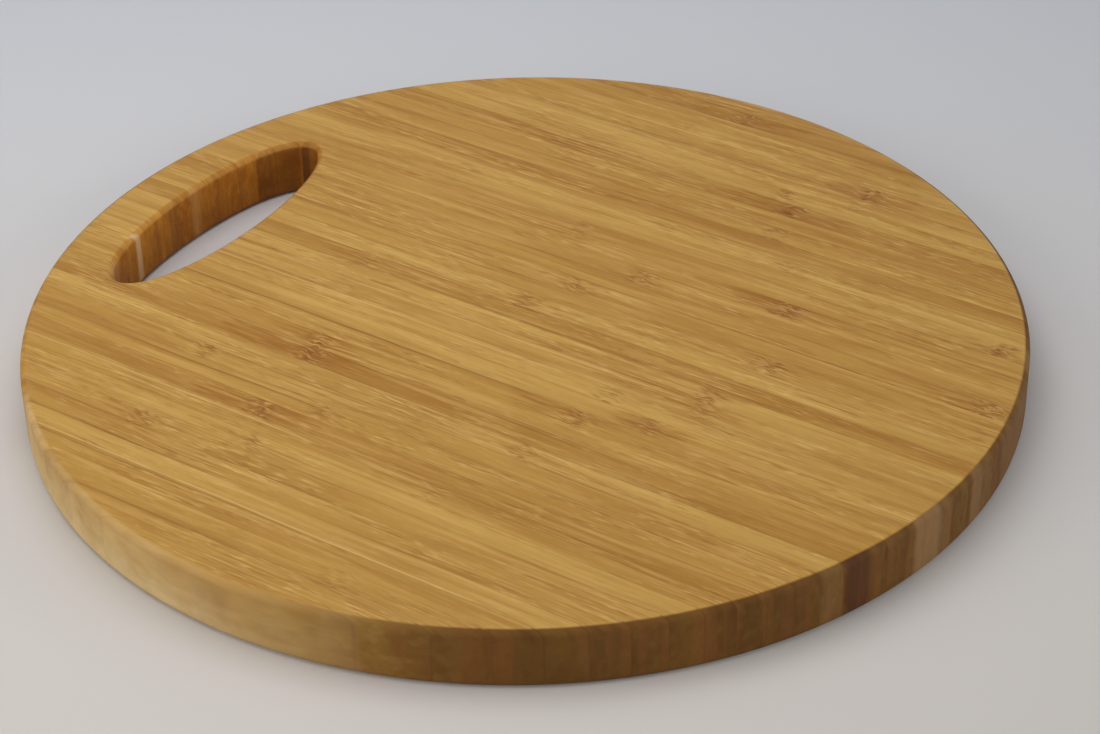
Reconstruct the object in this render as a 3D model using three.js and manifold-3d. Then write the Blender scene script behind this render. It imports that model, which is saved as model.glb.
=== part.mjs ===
// Round bamboo cutting board. Full-thickness laths of bamboo stand on edge and are glued side by
// side into a panel. The panel is cut to a disc, an oval hand slot is cut through it near the rim,
// and every edge is rounded over with one cutter. A lath that the slot cuts through is in two
// pieces: the long one in the board and a short one in the grip.
// Millimetres, +Z up. The grain runs along X and the hand slot lies towards -X. The origin is the
// centre of the underside, so the board lies on the plane Z = 0.

import * as THREE from 'three';
import { mergeVertices } from 'three/addons/utils/BufferGeometryUtils.js';
import Module from 'manifold-3d';

// Disc
const boardDiameter = 300;
const boardThickness = 19;
const edgeRounding = 2.5; // radius of the rounding cutter, run round the rim and the slot, both faces

// Laths
const stripWidth = 7.3;
const layupShift = 2.2; // the glue joint nearest to the board's centre lies this far towards +Y
const narrowestRimStrip = 3; // the outermost lath is never left narrower than this at the rim

// Hand slot, an ellipse measured between its upright walls
const slotLength = 97.5; // across the grain
const slotWidth = 29.8; // along the grain
const gripWidth = 18.7; // bamboo left between the slot and the rim
const slotTurn = 0.8; // degrees from the grain to the line from the board's centre to the slot's

// Facets of the curved faces
const rimFacets = 120;
const slotFacets = 60;
const roundingFacets = 4;

// Colours of single laths, which are numbered from the front rim (-Y) to the back rim
const strawBamboo = 0xbd974f;
const honeyBamboo = 0xb58b45;
const amberBamboo = 0xa77a38;
const strawLaths = [5, 8, 13, 17, 18, 19, 20, 22, 29, 30, 35, 36, 38];
const amberLaths = [10, 14, 21, 31, 34, 40, 41];
const bambooRoughness = 0.42;

const boardRadius = boardDiameter / 2;
const turn = THREE.MathUtils.degToRad(slotTurn);
const slotDistance = boardRadius - gripWidth - slotWidth / 2;
const slotX = -slotDistance * Math.cos(turn);
const slotY = -slotDistance * Math.sin(turn);
const slotReach = Math.hypot((slotLength / 2) * Math.cos(turn), (slotWidth / 2) * Math.sin(turn));
const cutReach = boardDiameter; // the cutting blocks reach this far, well past the board's faces

const wasm = await Module();
wasm.setup();

// The solid inside a closed three.js geometry.
function solidOf(geometry) {
  const bare = geometry.clone();
  bare.deleteAttribute('normal');
  bare.deleteAttribute('uv');
  const welded = mergeVertices(bare);
  return new wasm.Manifold(new wasm.Mesh({
    numProp: 3,
    vertProperties: Float32Array.from(welded.attributes.position.array),
    triVerts: Uint32Array.from(welded.index.array),
  }));
}

// A block that fills one range of X and one of Y and runs past both faces of the board.
function block(fromX, toX, fromY, toY) {
  const geometry = new THREE.BoxGeometry(toX - fromX, toY - fromY, cutReach);
  geometry.translate((fromX + toX) / 2, (fromY + toY) / 2, 0);
  return solidOf(geometry);
}

// The finished board in one solid: the disc with its slot, rounded over on all four edges.
function wholeBoard() {
  const rim = new THREE.EllipseCurve(0, 0, boardRadius, boardRadius);
  const slot = new THREE.EllipseCurve(
    slotX, slotY, slotWidth / 2, slotLength / 2, 0, 2 * Math.PI, false, turn);
  const outline = new THREE.Shape(rim.getPoints(rimFacets));
  outline.holes.push(new THREE.Path(slot.getPoints(slotFacets)));
  const geometry = new THREE.ExtrudeGeometry(outline, {
    depth: boardThickness - 2 * edgeRounding,
    bevelEnabled: true,
    bevelThickness: edgeRounding,
    bevelSize: edgeRounding,
    bevelOffset: -edgeRounding,
    bevelSegments: roundingFacets,
  });
  geometry.translate(0, 0, edgeRounding);
  return solidOf(geometry);
}

// The Y of every glue joint, from the front rim to the back rim.
function glueJoints() {
  const limit = boardRadius - narrowestRimStrip;
  const first = Math.ceil((-limit - layupShift) / stripWidth);
  const last = Math.floor((limit - layupShift) / stripWidth);
  const joints = [];
  for (let step = first; step <= last; step += 1) {
    joints.push(layupShift + step * stripWidth);
  }
  return joints;
}

// The colour of a lath, given its number.
function lathTone(number) {
  if (strawLaths.includes(number)) {
    return strawBamboo;
  }
  return amberLaths.includes(number) ? amberBamboo : honeyBamboo;
}

// A named mesh of one piece of bamboo.
function bambooPiece(name, solid, tone) {
  const cut = solid.getMesh();
  const geometry = new THREE.BufferGeometry();
  geometry.setAttribute('position', new THREE.BufferAttribute(cut.vertProperties, 3));
  geometry.setIndex(new THREE.BufferAttribute(cut.triVerts, 1));
  geometry.computeVertexNormals();
  const material = new THREE.MeshStandardMaterial({
    color: tone,
    roughness: bambooRoughness,
    metalness: 0,
  });
  const mesh = new THREE.Mesh(geometry, material);
  mesh.name = name;
  return mesh;
}

const board = wholeBoard();
const cuttingBoard = new THREE.Group();
const lathEdges = [-cutReach, ...glueJoints(), cutReach];

for (let number = 1; number < lathEdges.length; number += 1) {
  const front = lathEdges[number - 1];
  const back = lathEdges[number];
  const label = String(number).padStart(2, '0');
  const tone = lathTone(number);
  const cutInTwo = front > slotY - slotReach && back < slotY + slotReach;
  const longStart = cutInTwo ? slotX : -cutReach;
  const longPiece = board.intersect(block(longStart, cutReach, front, back));
  cuttingBoard.add(bambooPiece(`strip_${label}`, longPiece, tone));
  if (cutInTwo) {
    const shortPiece = board.intersect(block(-cutReach, slotX, front, back));
    cuttingBoard.add(bambooPiece(`grip_strip_${label}`, shortPiece, tone));
  }
}

export default cuttingBoard;
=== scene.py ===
import math
from functools import partial

import bmesh
import bpy
import numpy as np
from mathutils import Matrix, Vector


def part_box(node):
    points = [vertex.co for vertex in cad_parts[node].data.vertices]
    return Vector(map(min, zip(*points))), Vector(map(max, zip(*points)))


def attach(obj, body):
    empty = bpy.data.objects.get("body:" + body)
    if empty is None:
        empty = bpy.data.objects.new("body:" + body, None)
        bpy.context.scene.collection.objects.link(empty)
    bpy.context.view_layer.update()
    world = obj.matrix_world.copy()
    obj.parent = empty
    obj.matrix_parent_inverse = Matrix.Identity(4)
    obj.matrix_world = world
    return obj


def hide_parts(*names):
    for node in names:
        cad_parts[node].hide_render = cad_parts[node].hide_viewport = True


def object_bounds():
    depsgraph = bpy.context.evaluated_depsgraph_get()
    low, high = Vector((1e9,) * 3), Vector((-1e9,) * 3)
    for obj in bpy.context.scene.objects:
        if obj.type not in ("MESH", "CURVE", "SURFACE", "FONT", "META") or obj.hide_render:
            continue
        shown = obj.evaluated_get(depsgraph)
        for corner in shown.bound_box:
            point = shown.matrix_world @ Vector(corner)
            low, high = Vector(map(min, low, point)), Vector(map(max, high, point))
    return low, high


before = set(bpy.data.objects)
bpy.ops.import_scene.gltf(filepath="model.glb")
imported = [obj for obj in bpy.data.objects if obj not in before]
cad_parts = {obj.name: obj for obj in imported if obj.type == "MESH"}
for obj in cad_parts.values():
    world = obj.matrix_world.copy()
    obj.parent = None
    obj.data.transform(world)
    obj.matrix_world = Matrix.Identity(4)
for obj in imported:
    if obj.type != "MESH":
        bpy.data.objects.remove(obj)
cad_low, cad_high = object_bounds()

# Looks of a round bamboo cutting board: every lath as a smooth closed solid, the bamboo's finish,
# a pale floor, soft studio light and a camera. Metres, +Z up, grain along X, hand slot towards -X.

MM = 0.001

# Board
BOARD_RADIUS = cad_high.x
BOARD_THICKNESS = cad_high.z
EDGE_ROUNDING = 2.5 * MM
SLOT_LENGTH = 97.5 * MM
SLOT_WIDTH = 29.8 * MM
GRIP_WIDTH = 18.7 * MM
SLOT_TURN = math.radians(0.8)
SLOT_DISTANCE = BOARD_RADIUS - GRIP_WIDTH - SLOT_WIDTH / 2
SLOT_X = -SLOT_DISTANCE * math.cos(SLOT_TURN)
SLOT_Y = -SLOT_DISTANCE * math.sin(SLOT_TURN)

# The photograph's view: its focal length, and where the centre of the top face lies in it
PHOTO_WIDTH, PHOTO_HEIGHT = 1100, 734
FOCAL_PIXELS = 2794.8
TOP_CENTRE_PIXEL = (524.81, 312.22)
TOP_CENTRE_DEPTH = 837.7 * MM  # along the line of sight
VIEW_AZIMUTH = math.radians(34.0)
VIEW_ELEVATION = math.radians(34.118)
VIEW_ROLL = math.radians(1.048)
SENSOR_WIDTH = 36.0

# Mesh steps
ROUNDING_STEPS = 8
LATH_ROWS = 12
COLUMN = 2 * MM  # spacing of the top face's columns along the grain
EDGE_COLUMN = 0.4 * MM  # the column beside a rounded edge, which keeps the flat face's shading flat
RIM_LATH_COLUMNS = 90
NOTCH_ROWS = 12
FEWEST_COLUMNS = 3
WIDEST_EDGE_SHARE = 0.2  # the most of a short row that the column beside an edge takes up
HALVINGS = 48  # of the angle along the slot's wall, which is then as exact as the numbers are
SHARP_ANGLE = math.radians(14)  # above a step of the rounding, below the flattest joint on the rim
WELD = 1e-6

# Laths are numbered from the front rim (-Y). Each is one tone of bamboo all along.
STRAW_LATHS = (5, 8, 13, 17, 18, 19, 20, 22, 29, 30, 35, 36, 38)
AMBER_LATHS = (10, 14, 21, 31, 34, 40, 41)

# Laths whose dense side, next to the culm's skin, faces the back rim
DENSE_BACK_LATHS = (2, 4, 9, 11, 16, 18, 21, 22, 23, 25, 27, 28, 30, 31, 32, 36, 38, 39)

# Stretches of the rim in degrees round the board from +X, with the degrees over which they fade in and
# out: where the cut ends have taken up no oil, and where they are dusty. Both lie on the rim's left, and
# the paler tone they give there is partly painted light from that side.
UNSOAKED_AND_LIT = (-165, -100, 12, 14)
DUSTY_AND_LIT = (-128, -98, 5, 26)

# Knuckles of the bamboo culm: lath number to X of the crumpled fibres in mm and their strength, then X from
# and to of the browned stretch round them and its strength
KNUCKLES = {
    3: (30, 0.4, 18, 44, 0.35), 7: (-61, 0.8, -74, -46, 0.5), 8: (-28, 0.6, -36, -18, 0.25),
    9: (29, 0.4, 22, 36, 0.2), 10: (-36, 0.9, -56, -24, 0.9), 11: (-20, 0.6, -26, -10, 0.25),
    12: (-68, 0.6, -80, -60, 0.4), 13: (40, 0.6, 30, 48, 0.3), 14: (-41, 1.0, -70, -24, 0.9),
    15: (-43, 0.9, -56, -32, 0.7), 16: (43, 0.8, 24, 50, 0.8), 17: (63, 0.7, 56, 71, 0.9),
    18: (45, 0.6, 38, 52, 0.3), 19: (71, 0.6, 62, 80, 0.25), 20: (70, 0.8, 60, 80, 0.5),
    21: (-57, 0.4, -82, -46, 0.5), 22: (-3, 0.7, -12, 6, 0.4), 23: (76, 0.8, 66, 82, 0.6),
    24: (6, 0.7, 0, 12, 0.5), 25: (140, 0.9, 124, 148, 0.6), 26: (20, 0.8, 12, 28, 0.4),
    27: (66, 0.9, 54, 80, 0.9), 28: (-12, 0.5, -20, -2, 0.4), 29: (130, 0.9, 118, 140, 0.6),
    30: (56, 0.5, 50, 62, 0.3), 32: (42, 0.6, 34, 52, 0.4), 33: (-41, 0.4, -50, -32, 0.3),
    34: (39, 0.9, 20, 56, 0.8), 35: (33, 0.7, 24, 42, 0.5), 36: (55, 0.5, 46, 64, 0.3),
    37: (56, 0.9, 44, 70, 0.8), 38: (-18, 0.4, -24, -12, 0.2), 40: (-3, 0.8, -18, 16, 0.8),
}
NO_KNUCKLE = (0, 0.0, 0, 0, 0.0)
CRUMPLE_REACH = 8  # mm either way along the lath
BROWN_FADE = 12  # mm past the browned stretch

# Long fibre lines: lath number to mm from the lath's front edge, X from and to in mm, and strength,
# which is above 0 for a dark line and below 0 for a pale one
LINES = {
    2: (6.8, -60, 0, 0.8), 4: (6.7, -85, 10, 0.7), 5: (0.5, -80, 60, -0.8), 6: (0.4, -95, -35, 0.6),
    7: (0.7, -105, -55, 0.7), 9: (5.4, -120, -20, -0.7), 11: (4.9, -130, -20, 0.9),
    12: (6.0, -65, -12, 0.7), 14: (6.9, -30, 45, 0.9), 16: (7.0, -95, 20, 1.0),
    18: (5.8, -100, 20, -0.8), 19: (6.2, -50, 60, -0.6), 20: (0.3, 20, 60, 0.6),
    21: (1.0, -60, 90, 0.8), 22: (0.3, 20, 60, 0.5), 25: (0.6, -40, 140, 0.7),
    26: (0.3, -25, 20, 0.6), 27: (7.0, 50, 140, 0.6), 28: (0.7, -75, -15, -0.6),
    29: (3.5, 90, 128, 0.5), 30: (2.5, 60, 120, -0.6), 31: (6.7, -100, 40, 0.5),
    33: (1.5, 90, 125, 0.4), 34: (5.0, -105, 10, 0.5), 37: (1.2, -90, 60, 0.6),
    40: (0.8, -50, 60, 0.5),
}
NO_LINE = (0, 0, 0, 0.0)
LINE_FADE = 10  # mm

# Soft bands of tone on the cut ends, from -1, dark, to 1, pale, each with its middle and half width in
# degrees: along the rim round the board from +X, and in the slot on the ellipse's own scale
RIM_BANDS = (
    (-127, 3.5, 0.3), (-104.5, 1.5, 0.15), (-75, 1.5, 0.1), (-64.4, 0.4, -0.15), (-49, 2, -0.12),
    (-28.5, 1.5, -0.25), (-23.5, 0.9, 0.06), (-20.1, 1.1, -0.85), (-9.6, 1.6, 0.2), (-6.6, 0.8, 0.08),
    (-4.4, 0.3, -0.15), (0, 0.6, 0.12), (5.6, 1.0, -0.1), (9, 9, 0.05), (22.4, 1.4, 0.15),
)
SLOT_TONE_AND_SHADE_BANDS = (
    (244, 9, 0.22), (225, 2, -0.1), (211, 1.3, 0.9), (186.5, 1.6, -0.5), (173, 2.2, 0.12), (162, 3, -0.2),
    # The dark bands at 120, 97 and 84 degrees, at the slot's back end, are painted shade
    (120, 16, -0.6), (97, 4, -1.0), (84, 8, -0.7),
)
BAND_FADE = 1.0
RIM_MARGIN = 0.2  # mm inside the rim's rounding that still count as rim
SEED_STEP = 0.618  # from lath to lath, which keeps neighbours' seeds far apart


# Shapes

def edge_profile():
    """Inward shift and height of a board edge, from the underside's flat up to the top's: a quarter
    circle out to the upright wall, and another quarter circle back in."""
    turn = np.linspace(0, np.pi / 2, ROUNDING_STEPS + 1)
    shift = EDGE_ROUNDING * (1 - np.sin(turn))
    height = EDGE_ROUNDING * (1 - np.cos(turn))
    return np.r_[shift, shift[::-1]], np.r_[height, BOARD_THICKNESS - height[::-1]]


SHIFT, HEIGHT = edge_profile()


def rim_x(y, shift):
    """Half chord of the rim's circle, drawn in by shift, at a given Y: the root of the radius squared less
    Y squared. That is the rim's X on the board's side."""
    return np.sqrt(np.maximum((BOARD_RADIUS - shift) ** 2 - y ** 2, 0))


def slot_outline(angle, grown):
    """Point of the slot's outline grown into the wood: the ellipse's point at an angle, plus the growth
    along the ellipse's normal, then turned with the slot and moved to its centre."""
    half_x, half_y = SLOT_WIDTH / 2, SLOT_LENGTH / 2
    normal_x, normal_y = np.cos(angle) / half_x, np.sin(angle) / half_y
    length = np.hypot(normal_x, normal_y)
    x = half_x * np.cos(angle) + grown * normal_x / length
    y = half_y * np.sin(angle) + grown * normal_y / length
    cos, sin = math.cos(SLOT_TURN), math.sin(SLOT_TURN)
    return SLOT_X + x * cos - y * sin, SLOT_Y + x * sin + y * cos


def slot_tip_angle(direction):
    """Angle of the outline's point furthest along direction, which is -1 for -Y and 1 for +Y."""
    normal = direction * math.pi / 2 - SLOT_TURN
    return math.atan2(SLOT_LENGTH * math.sin(normal), SLOT_WIDTH * math.cos(normal))


def slot_angle(x, y):
    """Angle of a point round the slot in degrees, on the ellipse's own scale."""
    cos, sin = math.cos(SLOT_TURN), math.sin(SLOT_TURN)
    own_x = (x - SLOT_X) * cos + (y - SLOT_Y) * sin
    own_y = (y - SLOT_Y) * cos - (x - SLOT_X) * sin
    return np.degrees(np.arctan2(own_y / SLOT_LENGTH, own_x / SLOT_WIDTH)) % 360


def slot_x(y, grown, side):
    """X of the slot's wall at a given Y, on the board's side (1) or the grip's (-1). Y rises all the way
    from the front tip to the back one, so the angle past the tip is found by halving."""
    y, grown = np.broadcast_arrays(y, grown)
    tip = slot_tip_angle(-1)
    low, high = np.zeros(y.shape), np.full(y.shape, np.pi)
    for _ in range(HALVINGS):
        middle = (low + high) / 2
        beyond = slot_outline(tip + side * middle, grown)[1] > y
        low, high = np.where(beyond, low, middle), np.where(beyond, middle, high)
    return slot_outline(tip + side * low, grown)[0]


def points(x, y, z):
    """Grid of points from three arrays that broadcast together."""
    return np.stack(np.broadcast_arrays(x, y, z), -1)


def flat_face(start, stop):
    """Ruled face between two edge lines: each row runs straight from one to the other, with columns at
    an even spacing and one close to each edge."""
    length = np.linalg.norm(stop - start, axis=-1).max()
    close = min(EDGE_COLUMN / length, WIDEST_EDGE_SHARE)
    columns = max(FEWEST_COLUMNS, round(length / COLUMN))
    share = np.r_[0, np.linspace(close, 1 - close, columns), 1]
    return start[:, None] + share[:, None] * (stop - start)[:, None]


def side_face(start, top, bottom, stop):
    """Flat side of a lath, as one strip of quads from its lower outline to its upper one. Start and stop
    are its end profiles from the bottom up, and top and bottom the edges between them."""
    first, last = len(start) // 2, len(stop) // 2
    upper = np.r_[start[first:], top[1:-1], stop[:last - 1:-1]]
    lower = np.r_[start[first - 1::-1], bottom[1:-1], stop[:last]]
    return np.stack([lower, upper])


def span_faces(left, right):
    """Top and bottom of a lath between two walls, each a grid of rows by profile steps."""
    return flat_face(left[:, -1], right[:, -1]), flat_face(left[:, 0], right[:, 0])


def plain_lath(front, back, left_end, right_end):
    """Lath between two upright ends: its walls follow the ends' curves at every step of the rounded
    profile, and its flat faces are ruled between them."""
    rows = np.linspace(front, back, LATH_ROWS)[:, None]
    left = points(left_end(rows, SHIFT), rows, HEIGHT)
    right = points(right_end(rows, SHIFT), rows, HEIGHT)
    top, bottom = span_faces(left, right)
    front_side = side_face(left[0], top[0], bottom[0], right[0])
    back_side = side_face(left[-1], top[-1], bottom[-1], right[-1])
    return [left, right, top, bottom, front_side, back_side]


def rim_lath(chord, direction):
    """Outermost lath, between a glue joint and the rim: the rim's arc at every step of the profile, and
    flat faces ruled from the joint's chord straight out to that arc."""
    radius = BOARD_RADIUS - SHIFT
    start = np.arcsin(abs(chord) / radius)
    share = np.linspace(0, 1, RIM_LATH_COLUMNS)[:, None]
    angle = start + share * (np.pi - 2 * start)
    wall = points(radius * np.cos(angle), direction * radius * np.sin(angle), HEIGHT)
    joint = wall * (1, 0, 1) + (0, chord, 0)
    steps = np.linspace(0, 1, LATH_ROWS)[:, None]
    flats = [joint[:, None, j] + steps * (wall[:, None, j] - joint[:, None, j]) for j in (-1, 0)]
    side = side_face(wall[0], joint[:, -1], joint[:, 0], wall[-1])
    return [wall, *flats, side]


def notched_lath(plain_side, notched_side):
    """Lath that only a tip of the slot reaches into. Its flat faces are ruled in two halves, from each
    end of the lath to a seam at the tip's X and on along the notch, whose wall follows the slot's
    outline at every step of the profile."""
    direction = 1 if notched_side > plain_side else -1
    tip = slot_tip_angle(-direction)
    tip_x, tip_y = slot_outline(tip, SHIFT)
    seam = np.linspace(plain_side, tip_y[-1], LATH_ROWS)[:-1, None] + 0 * SHIFT
    share = 1 - np.cos(np.linspace(0, np.pi / 2, NOTCH_ROWS))[:, None]
    notch = tip_y + share * (notched_side - tip_y)
    faces = []
    for side in (-1, 1):
        notch_x = slot_x(notch, SHIFT, side)
        notch_x[0] = tip_x
        rows = np.r_[seam[:, -1:], notch[:, -1:]]
        end = points(side * rim_x(rows, SHIFT), rows, HEIGHT)
        inner = points(np.r_[0 * seam + tip_x, notch_x], np.r_[seam, notch], HEIGHT)
        top, bottom = span_faces(end, inner)
        front_side = side_face(end[0], top[0], bottom[0], inner[0, [0, -1]])
        back_side = side_face(end[-1], top[-1], bottom[-1], inner[-1])
        faces += [end, inner[len(seam):], top, bottom, front_side, back_side]
    return faces


def grip_end(y, shift):
    """X of the rim on the grip's side."""
    return -rim_x(y, shift)


def slot_wall(y, shift):
    """X of the slot's wall on the board's side."""
    return slot_x(y, shift, 1)


def grip_wall(y, shift):
    """X of the slot's wall on the grip's side."""
    return slot_x(y, shift, -1)


def lath_faces(node, front, back):
    """Faces of the piece that stands for a CAD node, which spans one range of Y."""
    slot_front = slot_outline(slot_tip_angle(-1), 0)[1]
    slot_back = slot_outline(slot_tip_angle(1), 0)[1]
    if node.startswith("grip"):
        return plain_lath(front, back, grip_end, grip_wall)
    if front < slot_front < back:
        return notched_lath(front, back)
    if front < slot_back < back:
        return notched_lath(back, front)
    if slot_front < front and back < slot_back:
        return plain_lath(front, back, slot_wall, rim_x)
    if back > BOARD_RADIUS - EDGE_ROUNDING:
        return rim_lath(front, 1)
    if front < EDGE_ROUNDING - BOARD_RADIUS:
        return rim_lath(back, -1)
    return plain_lath(front, back, grip_end, rim_x)


def closed_mesh(name, faces):
    """One closed mesh from grids of points whose borders meet: quads on each grid, welded together."""
    vertices = np.concatenate([face.reshape(-1, 3) for face in faces])
    quads, start = [], 0
    for face in faces:
        rows, columns = face.shape[:2]
        index = start + np.arange(rows * columns).reshape(rows, columns)
        corners = index[:-1, :-1], index[1:, :-1], index[1:, 1:], index[:-1, 1:]
        quads.append(np.stack(corners, -1).reshape(-1, 4))
        start += rows * columns
    mesh = bpy.data.meshes.new(name)
    mesh.from_pydata(vertices, [], np.concatenate(quads))
    shell = bmesh.new()
    shell.from_mesh(mesh)
    bmesh.ops.remove_doubles(shell, verts=shell.verts, dist=WELD)
    bmesh.ops.dissolve_degenerate(shell, edges=shell.edges, dist=WELD)
    bmesh.ops.recalc_face_normals(shell, faces=shell.faces)
    shell.to_mesh(mesh)
    shell.free()
    mesh.shade_smooth()
    mesh.set_sharp_from_angle(angle=SHARP_ANGLE)
    return mesh


def mesh_points(mesh):
    """The mesh's vertices as an array."""
    found = np.empty(len(mesh.vertices) * 3, np.float32)
    mesh.vertices.foreach_get("co", found)
    return found.reshape(-1, 3).astype(float)


def set_vector(mesh, name, *columns):
    """A vector attribute on the mesh's vertices, from two or three columns. One not given is 0."""
    values = np.stack(np.broadcast_arrays(*columns, np.zeros(len(mesh.vertices)))[:3], -1)
    layer = mesh.attributes.new(name, "FLOAT_VECTOR", "POINT")
    layer.data.foreach_set("vector", values.astype(np.float32).ravel())


# Materials

SMOOTH = {"interpolation_type": "SMOOTHSTEP"}


def linear(hex_colour):
    """Linear RGBA of an sRGB hex colour."""
    parts = [int(hex_colour[i:i + 2], 16) / 255 for i in (1, 3, 5)]
    return (*[p / 12.92 if p <= 0.04045 else ((p + 0.055) / 1.055) ** 2.4 for p in parts], 1.0)


def add(tree, kind, sockets=None, **settings):
    """Adds a shader node with its settings, fills its sockets with values or with links from other
    nodes' outputs, and gives back its own outputs."""
    made = tree.nodes.new("ShaderNode" + kind)
    for name, value in settings.items():
        setattr(made, name, value)
    for socket, value in (sockets or {}).items():
        if isinstance(value, bpy.types.NodeSocket):
            tree.links.new(value, made.inputs[socket])
        else:
            made.inputs[socket].default_value = value
    return made.outputs


def new_material(name):
    """Empty node material and a function that adds nodes to it."""
    material = bpy.data.materials.new(name)
    material.use_nodes = True
    material.node_tree.nodes.clear()
    return material, partial(add, material.node_tree)


def per_mm(size):
    """Scale of a noise on coordinates in mm, from the size of its marks in mm."""
    return [1 / mm for mm in size]


# The bamboo's figure, from broad to fine: the size of its marks in mm along the grain, across the lath
# and up its height, the noise values where a mark starts and is full, its strength, and its colour
FIGURE = (
    ((55, 5.5, 16), 0.44, 0.70, 0.40, "#96641C"),
    ((60, 2.6, 5), 0.48, 0.68, 0.28, "#935E18"),
    ((50, 2.0, 4), 0.50, 0.70, 0.30, "#D4AB62"),
    ((28, 0.8, 8), 0.52, 0.72, 0.32, "#7E4A0C"),
    ((24, 0.7, 7), 0.52, 0.72, 0.32, "#DFBA72"),
    ((7, 0.9, 6), 0.54, 0.76, 0.38, "#7E4A0C"),
    ((6, 0.8, 6), 0.54, 0.76, 0.40, "#DFBA72"),
)
BROAD_LAYERS = 3  # the finer ones are threads, which show in patches and not on cut ends
LAYER_STEP = 7.3  # moves each layer to another part of the noise
SEED_REACH = (900.0, 41.0, 67.0)  # mm that a seed of 1 moves a lath's figure by

# Sizes in mm, as in the figure: of the fibres' slow wander and their fold at a knuckle, of patches with
# threads, of a browned stretch's ragged ends, of a knuckle's threads, and of spots of dust
WANDER = (60, 14, 14)
FOLD = (5, 2.6, 2.6)
PATCH = (70, 9, 30)
RAGGED_END = (14, 1.1, 1.5)
KNUCKLE_THREAD = (3.6, 0.55, 0.8)
DUST_SPOT = (12, 6, 7)

# Bands and dots of fibre on the cut ends, each as in the figure
END_MARKS = (
    ((90, 3.2, 60), 0.46, 0.66, 0.4, "#7A4A20"),
    ((90, 0.7, 0.9), 0.52, 0.66, 0.2, "#5E3816"),
)
DENSE_SIDE = "#7E4C12"
KNUCKLE_DARK, KNUCKLE_PALE = "#743C00", "#E4C078"
SCORCH = "#8C540E"
LINE_DARK, LINE_PALE = "#78460C", "#DDB972"
GLUE = "#6A400C"
# In the slot the oil darkens the cut ends less and more orange: painted warm bounce light between its walls
RIM_SOAKED, SLOT_SOAK_AND_BOUNCE = "#908262", "#EDC570"  # cut ends take up oil, which darkens them by this much
# The dark end tone also paints the shade at the slot's back end
END_PALE, END_DARK_AND_SHADE = "#D2B084", "#44220C"
# Pale tone of the dusty rim: partly dust in the pores, partly painted light from the left
DUST_AND_LIGHT_PALE = "#CDB380"


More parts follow.
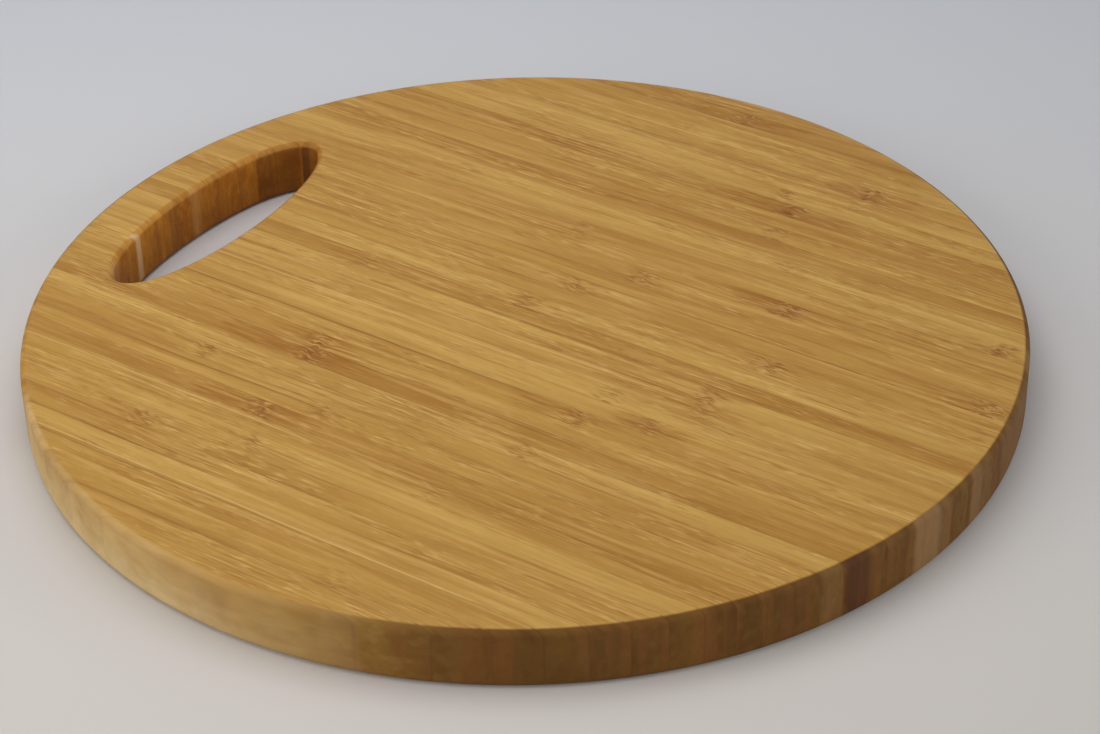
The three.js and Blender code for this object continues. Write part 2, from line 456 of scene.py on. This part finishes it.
def oiled_bamboo(name, tone):
    """Bamboo lath, sanded and oiled to a satin finish. Its fibres run along X and lie in layers across the
    lath, denser and darker towards the culm's skin, so the faces show long streaks and the cut ends
    upright bands and dots. Knuckles of the culm crumple the fibres, and thin glue joints part the laths."""
    material, node = new_material(name)
    seed, density, end_tone_and_shade = node("SeparateXYZ", {0: node("Attribute", attribute_name="lath")["Vector"]})
    crumple, browned, _ = node("SeparateXYZ", {0: node("Attribute", attribute_name="knuckle")["Vector"]})
    off_line, line, _ = node("SeparateXYZ", {0: node("Attribute", attribute_name="fibre_line")["Vector"]})
    cut_end = node("Attribute", attribute_name="cut_end")["Vector"]
    unsoaked_and_lit, dust_and_light, in_slot = node("SeparateXYZ", {0: cut_end})

    # Upright faces start at the top of the rim's rounding and low on the slot's. The slot's walls, and the
    # rim where it faces along the fibres, are cut ends, and so in part is the slot's rounding.
    normal = node("NewGeometry")["Normal"]
    normal_z = node("SeparateXYZ", {0: normal})[2]
    rounded = node("MapRange", {0: normal_z, 1: 0.99, 2: 0.85, 3: 0.0, 4: 1.0}, **SMOOTH)[0]
    steep = node("MapRange", {0: normal_z, 1: 0.62, 2: 0.20, 3: 0.0, 4: 1.0}, **SMOOTH)[0]
    upright = node("Mix", {0: in_slot, 2: rounded, 3: steep})[0]
    flattened = node("VectorMath", {0: normal, 1: (1.0, 1.0, 0.0)}, operation="MULTIPLY")[0]
    outward = node("VectorMath", {0: flattened}, operation="NORMALIZE")[0]
    along = node("Math", {0: node("SeparateXYZ", {0: outward})[0]}, operation="ABSOLUTE")[0]
    end_grain = node("MapRange", {0: along, 1: 0.0, 2: 0.5, 3: 0.0, 4: 1.0})[0]
    rim_cut = node("Math", {0: rounded, 1: end_grain}, operation="MULTIPLY")[0]
    slot_cut = node("Math", {0: node("Math", {0: rounded, 1: 0.5}, operation="MULTIPLY")[0], 1: steep},
                    operation="MAXIMUM")[0]
    cut = node("Mix", {0: in_slot, 2: rim_cut, 3: slot_cut})[0]

    # Place in mm, moved by the lath's seed so that no lath carries on its neighbour's figure
    in_mm = node("VectorMath", {0: node("TexCoord")["Object"], 3: 1 / MM}, operation="SCALE")[0]
    own_start = node("VectorMath", {0: SEED_REACH, 3: seed}, operation="SCALE")[0]
    own = node("VectorMath", {0: in_mm, 1: own_start}, operation="ADD")[0]

    # The fibres wander by up to half a millimetre along a lath, and fold up within 8 mm of a knuckle
    slow = node("VectorMath", {0: own, 1: per_mm(WANDER)}, operation="MULTIPLY")[0]
    slow_noise = node("TexNoise", {"Vector": slow, "Scale": 1.0, "Detail": 1.0})[0]
    wander = node("MapRange", {0: slow_noise, 1: 0.0, 2: 1.0, 3: -0.9, 4: 0.9})[0]
    quick = node("VectorMath", {0: own, 1: per_mm(FOLD)}, operation="MULTIPLY")[0]
    quick_noise = node("TexNoise", {"Vector": quick, "Scale": 1.0, "Detail": 1.0})[0]
    fold = node("MapRange", {0: quick_noise, 1: 0.0, 2: 1.0, 3: -2.6, 4: 2.6})[0]
    sway = node("Math", {0: fold, 1: crumple, 2: wander}, operation="MULTIPLY_ADD")[0]
    sideways = node("CombineXYZ", {1: sway})[0]
    grain = node("VectorMath", {0: own, 1: sideways}, operation="ADD")[0]

    # Figure
    patches = node("VectorMath", {0: own, 1: per_mm(PATCH)}, operation="MULTIPLY")[0]
    patch_noise = node("TexNoise", {"Vector": patches, "Scale": 1.0, "Detail": 1.0})[0]
    patch = node("MapRange", {0: patch_noise, 1: 0.40, 2: 0.62, 3: 0.3, 4: 1.0}, **SMOOTH)[0]
    long_face = node("Math", {0: 1.0, 1: upright}, operation="SUBTRACT")[0]
    threaded = node("Math", {0: patch, 1: long_face}, operation="MULTIPLY")[0]
    colour = linear(tone)
    figure = []
    for layer, (size, start, full, strength, layer_colour) in enumerate(FIGURE):
        scaled = node("VectorMath", {0: grain, 1: per_mm(size), 2: [layer * LAYER_STEP] * 3},
                      operation="MULTIPLY_ADD")[0]
        noise = node("TexNoise", {"Vector": scaled, "Scale": 1.0, "Detail": 1.0})[0]
        share = node("MapRange", {0: noise, 1: start, 2: full, 3: 0.0, 4: strength}, **SMOOTH)[0]
        if layer >= BROAD_LAYERS:
            share = node("Math", {0: share, 1: threaded}, operation="MULTIPLY")[0]
        colour = node("Mix", {0: share, 6: colour, 7: linear(layer_colour)}, data_type="RGBA")[2]
        figure.append(share)
    dense = node("MapRange", {0: density, 1: 0.2, 2: 1.0, 3: 0.0, 4: 0.12})[0]
    colour = node("Mix", {0: dense, 6: colour, 7: linear(DENSE_SIDE)}, data_type="RGBA")[2]

    # One long fibre line on the lath, dark or pale
    wandering = node("Math", {0: off_line, 1: wander}, operation="ADD")[0]
    aside = node("Math", {0: wandering}, operation="ABSOLUTE")[0]
    width = node("MapRange", {0: aside, 1: 0.1, 2: 0.55, 3: 1.0, 4: 0.0}, **SMOOTH)[0]
    for full, line_colour in ((1.0, LINE_DARK), (-1.0, LINE_PALE)):
        strength = node("MapRange", {0: line, 1: 0.0, 2: full, 3: 0.0, 4: 0.5})[0]
        share = node("Math", {0: width, 1: strength}, operation="MULTIPLY")[0]
        colour = node("Mix", {0: share, 6: colour, 7: linear(line_colour)}, data_type="RGBA")[2]

    # Knuckle: a stretch browned along its fibres with ragged ends, a stain at the fold, and crumpled
    # dark and pale threads
    torn = node("VectorMath", {0: grain, 1: per_mm(RAGGED_END)}, operation="MULTIPLY")[0]
    torn_noise = node("TexNoise", {"Vector": torn, "Scale": 1.0, "Detail": 1.0})[0]
    ragged = node("Math", {0: torn_noise, 1: 2.5, 2: browned}, operation="MULTIPLY_ADD")[0]
    share = node("MapRange", {0: ragged, 1: 1.75, 2: 2.55, 3: 0.0, 4: 0.6}, **SMOOTH)[0]
    colour = node("Mix", {0: share, 6: colour, 7: linear(SCORCH)}, data_type="RGBA")[2]
    share = node("MapRange", {0: crumple, 1: 0.15, 2: 1.0, 3: 0.0, 4: 0.35}, **SMOOTH)[0]
    colour = node("Mix", {0: share, 6: colour, 7: linear(SCORCH)}, data_type="RGBA")[2]
    thread_place = node("VectorMath", {0: grain, 1: per_mm(KNUCKLE_THREAD)}, operation="MULTIPLY")[0]
    threads = node("TexNoise", {"Vector": thread_place, "Scale": 1.0, "Detail": 1.0})[0]
    for start, full, strength, thread_colour in (
            (0.50, 0.66, 0.8, KNUCKLE_DARK), (0.48, 0.34, 0.42, KNUCKLE_PALE)):
        shown = node("MapRange", {0: threads, 1: start, 2: full, 3: 0.0, 4: strength})[0]
        share = node("Math", {0: shown, 1: crumple}, operation="MULTIPLY")[0]
        colour = node("Mix", {0: share, 6: colour, 7: linear(thread_colour)}, data_type="RGBA")[2]

    # Glue joints at both edges of the lath, here and there thick enough to show
    far_edge = node("Math", {0: 1.0, 1: density}, operation="SUBTRACT")[0]
    edge = node("Math", {0: density, 1: far_edge}, operation="MINIMUM")[0]
    film = node("MapRange", {0: edge, 1: 0.0, 2: 0.04, 3: 0.45, 4: 0.0}, **SMOOTH)[0]
    share = node("Math", {0: film, 1: slow_noise}, operation="MULTIPLY")[0]
    colour = node("Mix", {0: share, 6: colour, 7: linear(GLUE)}, data_type="RGBA")[2]

    # Cut ends: soaked with oil for the most part, with bands and dots of fibre, and soft bands of tone. The
    # unsoaked stretch on the rim's left stays paler, partly as painted light from that side.
    wet = node("Math", {0: 1.0, 1: unsoaked_and_lit}, operation="SUBTRACT")[0]
    soaked = node("Math", {0: cut, 1: wet}, operation="MULTIPLY")[0]
    # The slot's own soak colour holds painted warm bounce light
    soak_and_slot_bounce = node("Mix", {0: in_slot, 6: linear(RIM_SOAKED), 7: linear(SLOT_SOAK_AND_BOUNCE)}, data_type="RGBA")[2]
    colour = node("Mix", {0: soaked, 6: colour, 7: soak_and_slot_bounce}, data_type="RGBA", blend_type="MULTIPLY")[2]
    for size, start, full, strength, mark in END_MARKS:
        scaled = node("VectorMath", {0: own, 1: per_mm(size)}, operation="MULTIPLY")[0]
        noise = node("TexNoise", {"Vector": scaled, "Scale": 1.0, "Detail": 1.0})[0]
        shown = node("MapRange", {0: noise, 1: start, 2: full, 3: 0.0, 4: strength}, **SMOOTH)[0]
        share = node("Math", {0: shown, 1: cut}, operation="MULTIPLY")[0]
        colour = node("Mix", {0: share, 6: colour, 7: linear(mark)}, data_type="RGBA")[2]
    # Pale and dark bands of tone; the dark ones at the slot's back end are painted shade
    for full, end_colour, place in ((1.0, END_PALE, rounded), (-1.0, END_DARK_AND_SHADE, cut)):
        strength = node("MapRange", {0: end_tone_and_shade, 1: 0.0, 2: full, 3: 0.0, 4: 0.75})[0]
        share = node("Math", {0: strength, 1: place}, operation="MULTIPLY")[0]
        colour = node("Mix", {0: share, 6: colour, 7: linear(end_colour)}, data_type="RGBA")[2]

    # Dusty rim, mottled, with most of the dust low down; its pale tone is partly dust, partly painted light
    mottled = node("VectorMath", {0: own, 1: per_mm(DUST_SPOT)}, operation="MULTIPLY")[0]
    dust_noise = node("TexNoise", {"Vector": mottled, "Scale": 1.0, "Detail": 3.0, "Roughness": 0.6})[0]
    dust = node("MapRange", {0: dust_noise, 1: 0.35, 2: 0.65, 3: 0.4, 4: 0.7})[0]
    height = node("SeparateXYZ", {0: in_mm})[2]
    low = node("MapRange", {0: height, 1: 3.0, 2: 16.0, 3: 1.6, 4: 0.6})[0]
    dust_and_light_share = node("Math", {0: dust_and_light, 1: upright}, operation="MULTIPLY")[0]
    share = node("Math", {0: node("Math", {0: dust, 1: dust_and_light_share}, operation="MULTIPLY")[0], 1: low},
                 operation="MULTIPLY")[0]
    colour = node("Mix", {0: share, 6: colour, 7: linear(DUST_AND_LIGHT_PALE)}, data_type="RGBA")[2]

    # Satin finish, rougher along the dark streaks, which lie a little lower, and matt where cut or dusty
    relief = node("Math", {0: figure[1], 1: figure[3]}, operation="ADD")[0]
    roughness = node("MapRange", {0: relief, 1: 0.0, 2: 1.0, 3: 0.42, 4: 0.54})[0]
    matt = node("Math", {0: cut, 1: dust_and_light_share}, operation="MAXIMUM")[0]
    roughness = node("Math", {0: matt, 1: 0.25, 2: roughness}, operation="MULTIPLY_ADD")[0]
    bump = node("Bump", {"Height": relief, "Strength": 0.2, "Distance": 0.1 * MM}, invert=True)[0]
    shader = node("BsdfPrincipled", {"Base Color": colour, "Roughness": roughness, "IOR": 1.5,
                                     "Specular IOR Level": 0.2, "Normal": bump})[0]
    node("OutputMaterial", {"Surface": shader})
    return material


BACKDROP = "#C6C8CB"
# Paper tones in front of and behind the board: painted warm light in front and painted cool light behind
PAPER_PAINTED_WARM_FRONT, PAPER_PAINTED_COOL_BEHIND = "#CECAC6", "#C8CED8"
PAPER_BLEND = (-0.2, 0.45)  # metres behind the board's centre over which the paper's tone changes

# Metres from the board's centre where the floor's light and shade start to fade, and where they are gone
LIT_FLOOR, PLAIN_FLOOR = 0.35, 1.0


def sees_backdrop(node):
    """1 on rays from the camera, and on those that come to it off or through a piece, otherwise 0."""
    rays = node("LightPath")
    bent = node("Math", {0: rays["Is Glossy Ray"], 1: rays["Is Transmission Ray"]}, operation="MAXIMUM")[0]
    return node("Math", {0: rays["Is Camera Ray"], 1: bent}, operation="MAXIMUM")[0]


def backdrop_paper():
    """Matt pale paper backdrop, a touch warmer in front of the board and cooler behind it, as painted warm
    light in front and painted cool light behind. Far from the board it is one plain tone, whatever light
    falls on it."""
    material, node = new_material("matt_backdrop_paper")
    place = node("TexCoord")["Object"]
    behind = node("VectorMath", {0: place, 1: (-math.sin(VIEW_AZIMUTH), math.cos(VIEW_AZIMUTH), 0.0)},
                  operation="DOT_PRODUCT")["Value"]
    share = node("MapRange", {0: behind, 1: PAPER_BLEND[0], 2: PAPER_BLEND[1], 3: 0.0, 4: 1.0}, **SMOOTH)[0]
    colour = node("Mix", {0: share, 6: linear(PAPER_PAINTED_WARM_FRONT), 7: linear(PAPER_PAINTED_COOL_BEHIND)}, data_type="RGBA")[2]
    paper = node("BsdfPrincipled", {"Base Color": colour, "Roughness": 0.8, "Specular IOR Level": 0.2})[0]
    plain = node("Emission", {"Color": linear(BACKDROP), "Strength": 1.0})[0]
    away = node("VectorMath", {0: place}, operation="LENGTH")["Value"]
    far = node("MapRange", {0: away, 1: LIT_FLOOR, 2: PLAIN_FLOOR, 3: 0.0, 4: 1.0}, **SMOOTH)[0]
    share = node("Math", {0: far, 1: sees_backdrop(node)}, operation="MULTIPLY")[0]
    both = node("MixShader", {0: share, 1: paper, 2: plain})[0]
    node("OutputMaterial", {"Surface": both})
    return material


# Pieces

def stretch(x, start, stop, fade_in, fade_out):
    """1 between start and stop, rising evenly from 0 over the fade before them and falling to 0 over the
    fade after them."""
    return np.clip(np.minimum((x - start) / fade_in, (stop - x) / fade_out) + 1, 0, 1) * (stop > start)


def band_tone(place, bands):
    """Sum of soft bands along a line: each is full within its half width of its middle, and falls to 0 over
    the fade by a smooth step."""
    middle, half_width, tone = np.array(bands).T[:, :, None]
    share = np.clip((half_width - np.abs(place - middle)) / BAND_FADE + 1, 0, 1)
    return (tone * share * share * (3 - 2 * share)).sum(0)


def bamboo_slot(number):
    """The record's material slot of a lath, given its number."""
    if number in STRAW_LATHS:
        return "bamboo_straw"
    return "bamboo_amber" if number in AMBER_LATHS else "bamboo_honey"


def lath_piece(node, materials):
    """The piece that stands for one CAD node, with the facts about its lath on its vertices."""
    low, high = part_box(node)
    number = int(node[-2:])
    name = node.replace("strip", "lath")
    mesh = closed_mesh(name, lath_faces(node, low.y, high.y))
    x, y, _ = mesh_points(mesh).T / MM
    front, back = low.y / MM, high.y / MM
    across = (y - front) / (back - front)
    density = across if number in DENSE_BACK_LATHS else 1 - across
    on_rim = np.hypot(x, y) > (BOARD_RADIUS - EDGE_ROUNDING) / MM - RIM_MARGIN
    polar = np.degrees(np.arctan2(y, x))
    # The slot's bands include painted shade at its back end
    slot_tone_and_shade = band_tone(slot_angle(x * MM, y * MM), SLOT_TONE_AND_SHADE_BANDS)
    end_tone_and_shade = np.where(on_rim, band_tone(polar, RIM_BANDS), slot_tone_and_shade)
    set_vector(mesh, "lath", number * SEED_STEP % 1, density, end_tone_and_shade)

    fold_x, crumple, brown_from, brown_to, brown = KNUCKLES.get(number, NO_KNUCKLE)
    crumpled = crumple * np.clip(1 - np.abs(x - fold_x) / CRUMPLE_REACH, 0, 1)
    browned = brown * stretch(x, brown_from, brown_to, BROWN_FADE, BROWN_FADE)
    set_vector(mesh, "knuckle", crumpled, browned)

    line_y, line_from, line_to, strength = LINES.get(number, NO_LINE)
    line = strength * stretch(x, line_from, line_to, LINE_FADE, LINE_FADE)
    set_vector(mesh, "fibre_line", y - front - line_y, line)

    # Unsoaked and dusty stretches on the rim's left: their paler tone is partly painted light from that
    # side
    unsoaked_and_lit = on_rim * stretch(polar, *UNSOAKED_AND_LIT)
    dust_and_light = on_rim * stretch(polar, *DUSTY_AND_LIT)
    set_vector(mesh, "cut_end", unsoaked_and_lit, dust_and_light, ~on_rim)
    piece = bpy.data.objects.new(name, mesh)
    bpy.context.scene.collection.objects.link(piece)
    slot = bamboo_slot(number)
    mesh.materials.append(materials[slot])
    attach(piece, "root")
    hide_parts(node)


materials = {
    "bamboo_straw": oiled_bamboo("oiled_straw_bamboo", "#BB9348"),
    "bamboo_honey": oiled_bamboo("oiled_honey_bamboo", "#B3893F"),
    "bamboo_amber": oiled_bamboo("oiled_amber_bamboo", "#A97D35"),
}
for node in sorted(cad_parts):
    lath_piece(node, materials)


# Floor, light and camera

AMBIENT, AMBIENT_STRENGTH = "#E6EAF0", 0.40
WHITE_LAMP, WARM_LAMP = "#FFFBF6", "#FFF6EE"
CLIP_START = 0.01
FLOOR_RINGS = (0, 0.5, 1, 2, 4, 6)  # radii in metres
FLOOR_SECTORS = 96
FLOOR_DROP = 0.05 * MM  # keeps the floor clear of the underside


def floor_disc():
    """Flat disc: rings of points at growing radius round the board's centre."""
    angle = np.linspace(0, 2 * np.pi, FLOOR_SECTORS + 1)[:, None]
    radius = np.array(FLOOR_RINGS)
    grid = points(radius * np.cos(angle), radius * np.sin(angle), -FLOOR_DROP)
    mesh = closed_mesh("floor", [grid])
    floor = bpy.data.objects.new("floor", mesh)
    bpy.context.scene.collection.objects.link(floor)
    mesh.materials.append(backdrop_paper())


def softbox(name, polar, elevation, distance, size, watts, colour, aim):
    """Square area lamp in a direction from the board's centre, given in degrees. It looks at a point on the
    floor."""
    lamp = bpy.data.lights.new(name, "AREA")
    lamp.size = size
    lamp.energy = watts
    lamp.color = linear(colour)[:3]
    turn, tilt = math.radians(polar), math.radians(elevation)
    direction = Vector((math.cos(turn) * math.cos(tilt), math.sin(turn) * math.cos(tilt), math.sin(tilt)))
    lamp_object = bpy.data.objects.new(name, lamp)
    lamp_object.location = direction * distance
    away = lamp_object.location - Vector((*aim, 0))
    lamp_object.rotation_euler = away.to_track_quat("Z", "Y").to_euler()
    bpy.context.scene.collection.objects.link(lamp_object)


def studio_world():
    """Dim even light all round, and a pale backdrop where the camera looks past the floor."""
    world = bpy.data.worlds.new("studio")
    bpy.context.scene.world = world
    world.use_nodes = True
    world.node_tree.nodes.clear()
    node = partial(add, world.node_tree)
    dim = node("Background", {"Color": linear(AMBIENT), "Strength": AMBIENT_STRENGTH})[0]
    pale = node("Background", {"Color": linear(BACKDROP), "Strength": 1.0})[0]
    both = node("MixShader", {0: sees_backdrop(node), 1: dim, 2: pale})[0]
    node("OutputWorld", {"Surface": both})


def photo_camera():
    """Camera whose axes come from the view's angles, set back from the top face's centre along the ray
    through that centre's pixel."""
    turn = Matrix.Rotation(VIEW_AZIMUTH, 3, "Z") @ Matrix.Rotation(-VIEW_ELEVATION, 3, "X")
    forward, level, down = turn @ Vector((0, 1, 0)), turn @ Vector((1, 0, 0)), turn @ Vector((0, 0, -1))
    right = math.cos(VIEW_ROLL) * level + math.sin(VIEW_ROLL) * down
    below = math.cos(VIEW_ROLL) * down - math.sin(VIEW_ROLL) * level
    offset_x = (TOP_CENTRE_PIXEL[0] - PHOTO_WIDTH / 2) / FOCAL_PIXELS
    offset_y = (TOP_CENTRE_PIXEL[1] - PHOTO_HEIGHT / 2) / FOCAL_PIXELS
    ray = forward + offset_x * right + offset_y * below
    data = bpy.data.cameras.new("camera")
    data.sensor_fit = "HORIZONTAL"
    data.sensor_width = SENSOR_WIDTH
    data.lens = SENSOR_WIDTH * FOCAL_PIXELS / PHOTO_WIDTH
    data.clip_start = CLIP_START
    camera = bpy.data.objects.new("camera", data)
    axes = Matrix((right, -below, -forward)).transposed().to_4x4()
    place = Vector((0, 0, BOARD_THICKNESS)) - TOP_CENTRE_DEPTH * ray
    camera.matrix_world = Matrix.Translation(place) @ axes
    bpy.context.scene.collection.objects.link(camera)
    bpy.context.scene.camera = camera


floor_disc()
studio_world()
softbox("key", polar=-150, elevation=76, distance=0.52, size=0.5, watts=1.48, colour=WHITE_LAMP,
        aim=(-0.25, -0.05))
softbox("left", polar=-125, elevation=25, distance=1.6, size=0.9, watts=7.2, colour=WARM_LAMP, aim=(0, 0))
softbox("front", polar=-66, elevation=20, distance=2.4, size=1.6, watts=9.7, colour=WHITE_LAMP, aim=(0, 0))
softbox("right", polar=22, elevation=14, distance=2.4, size=1.6, watts=26, colour=WHITE_LAMP, aim=(0, 0))
photo_camera()
bpy.context.scene.view_settings.view_transform = "Standard"
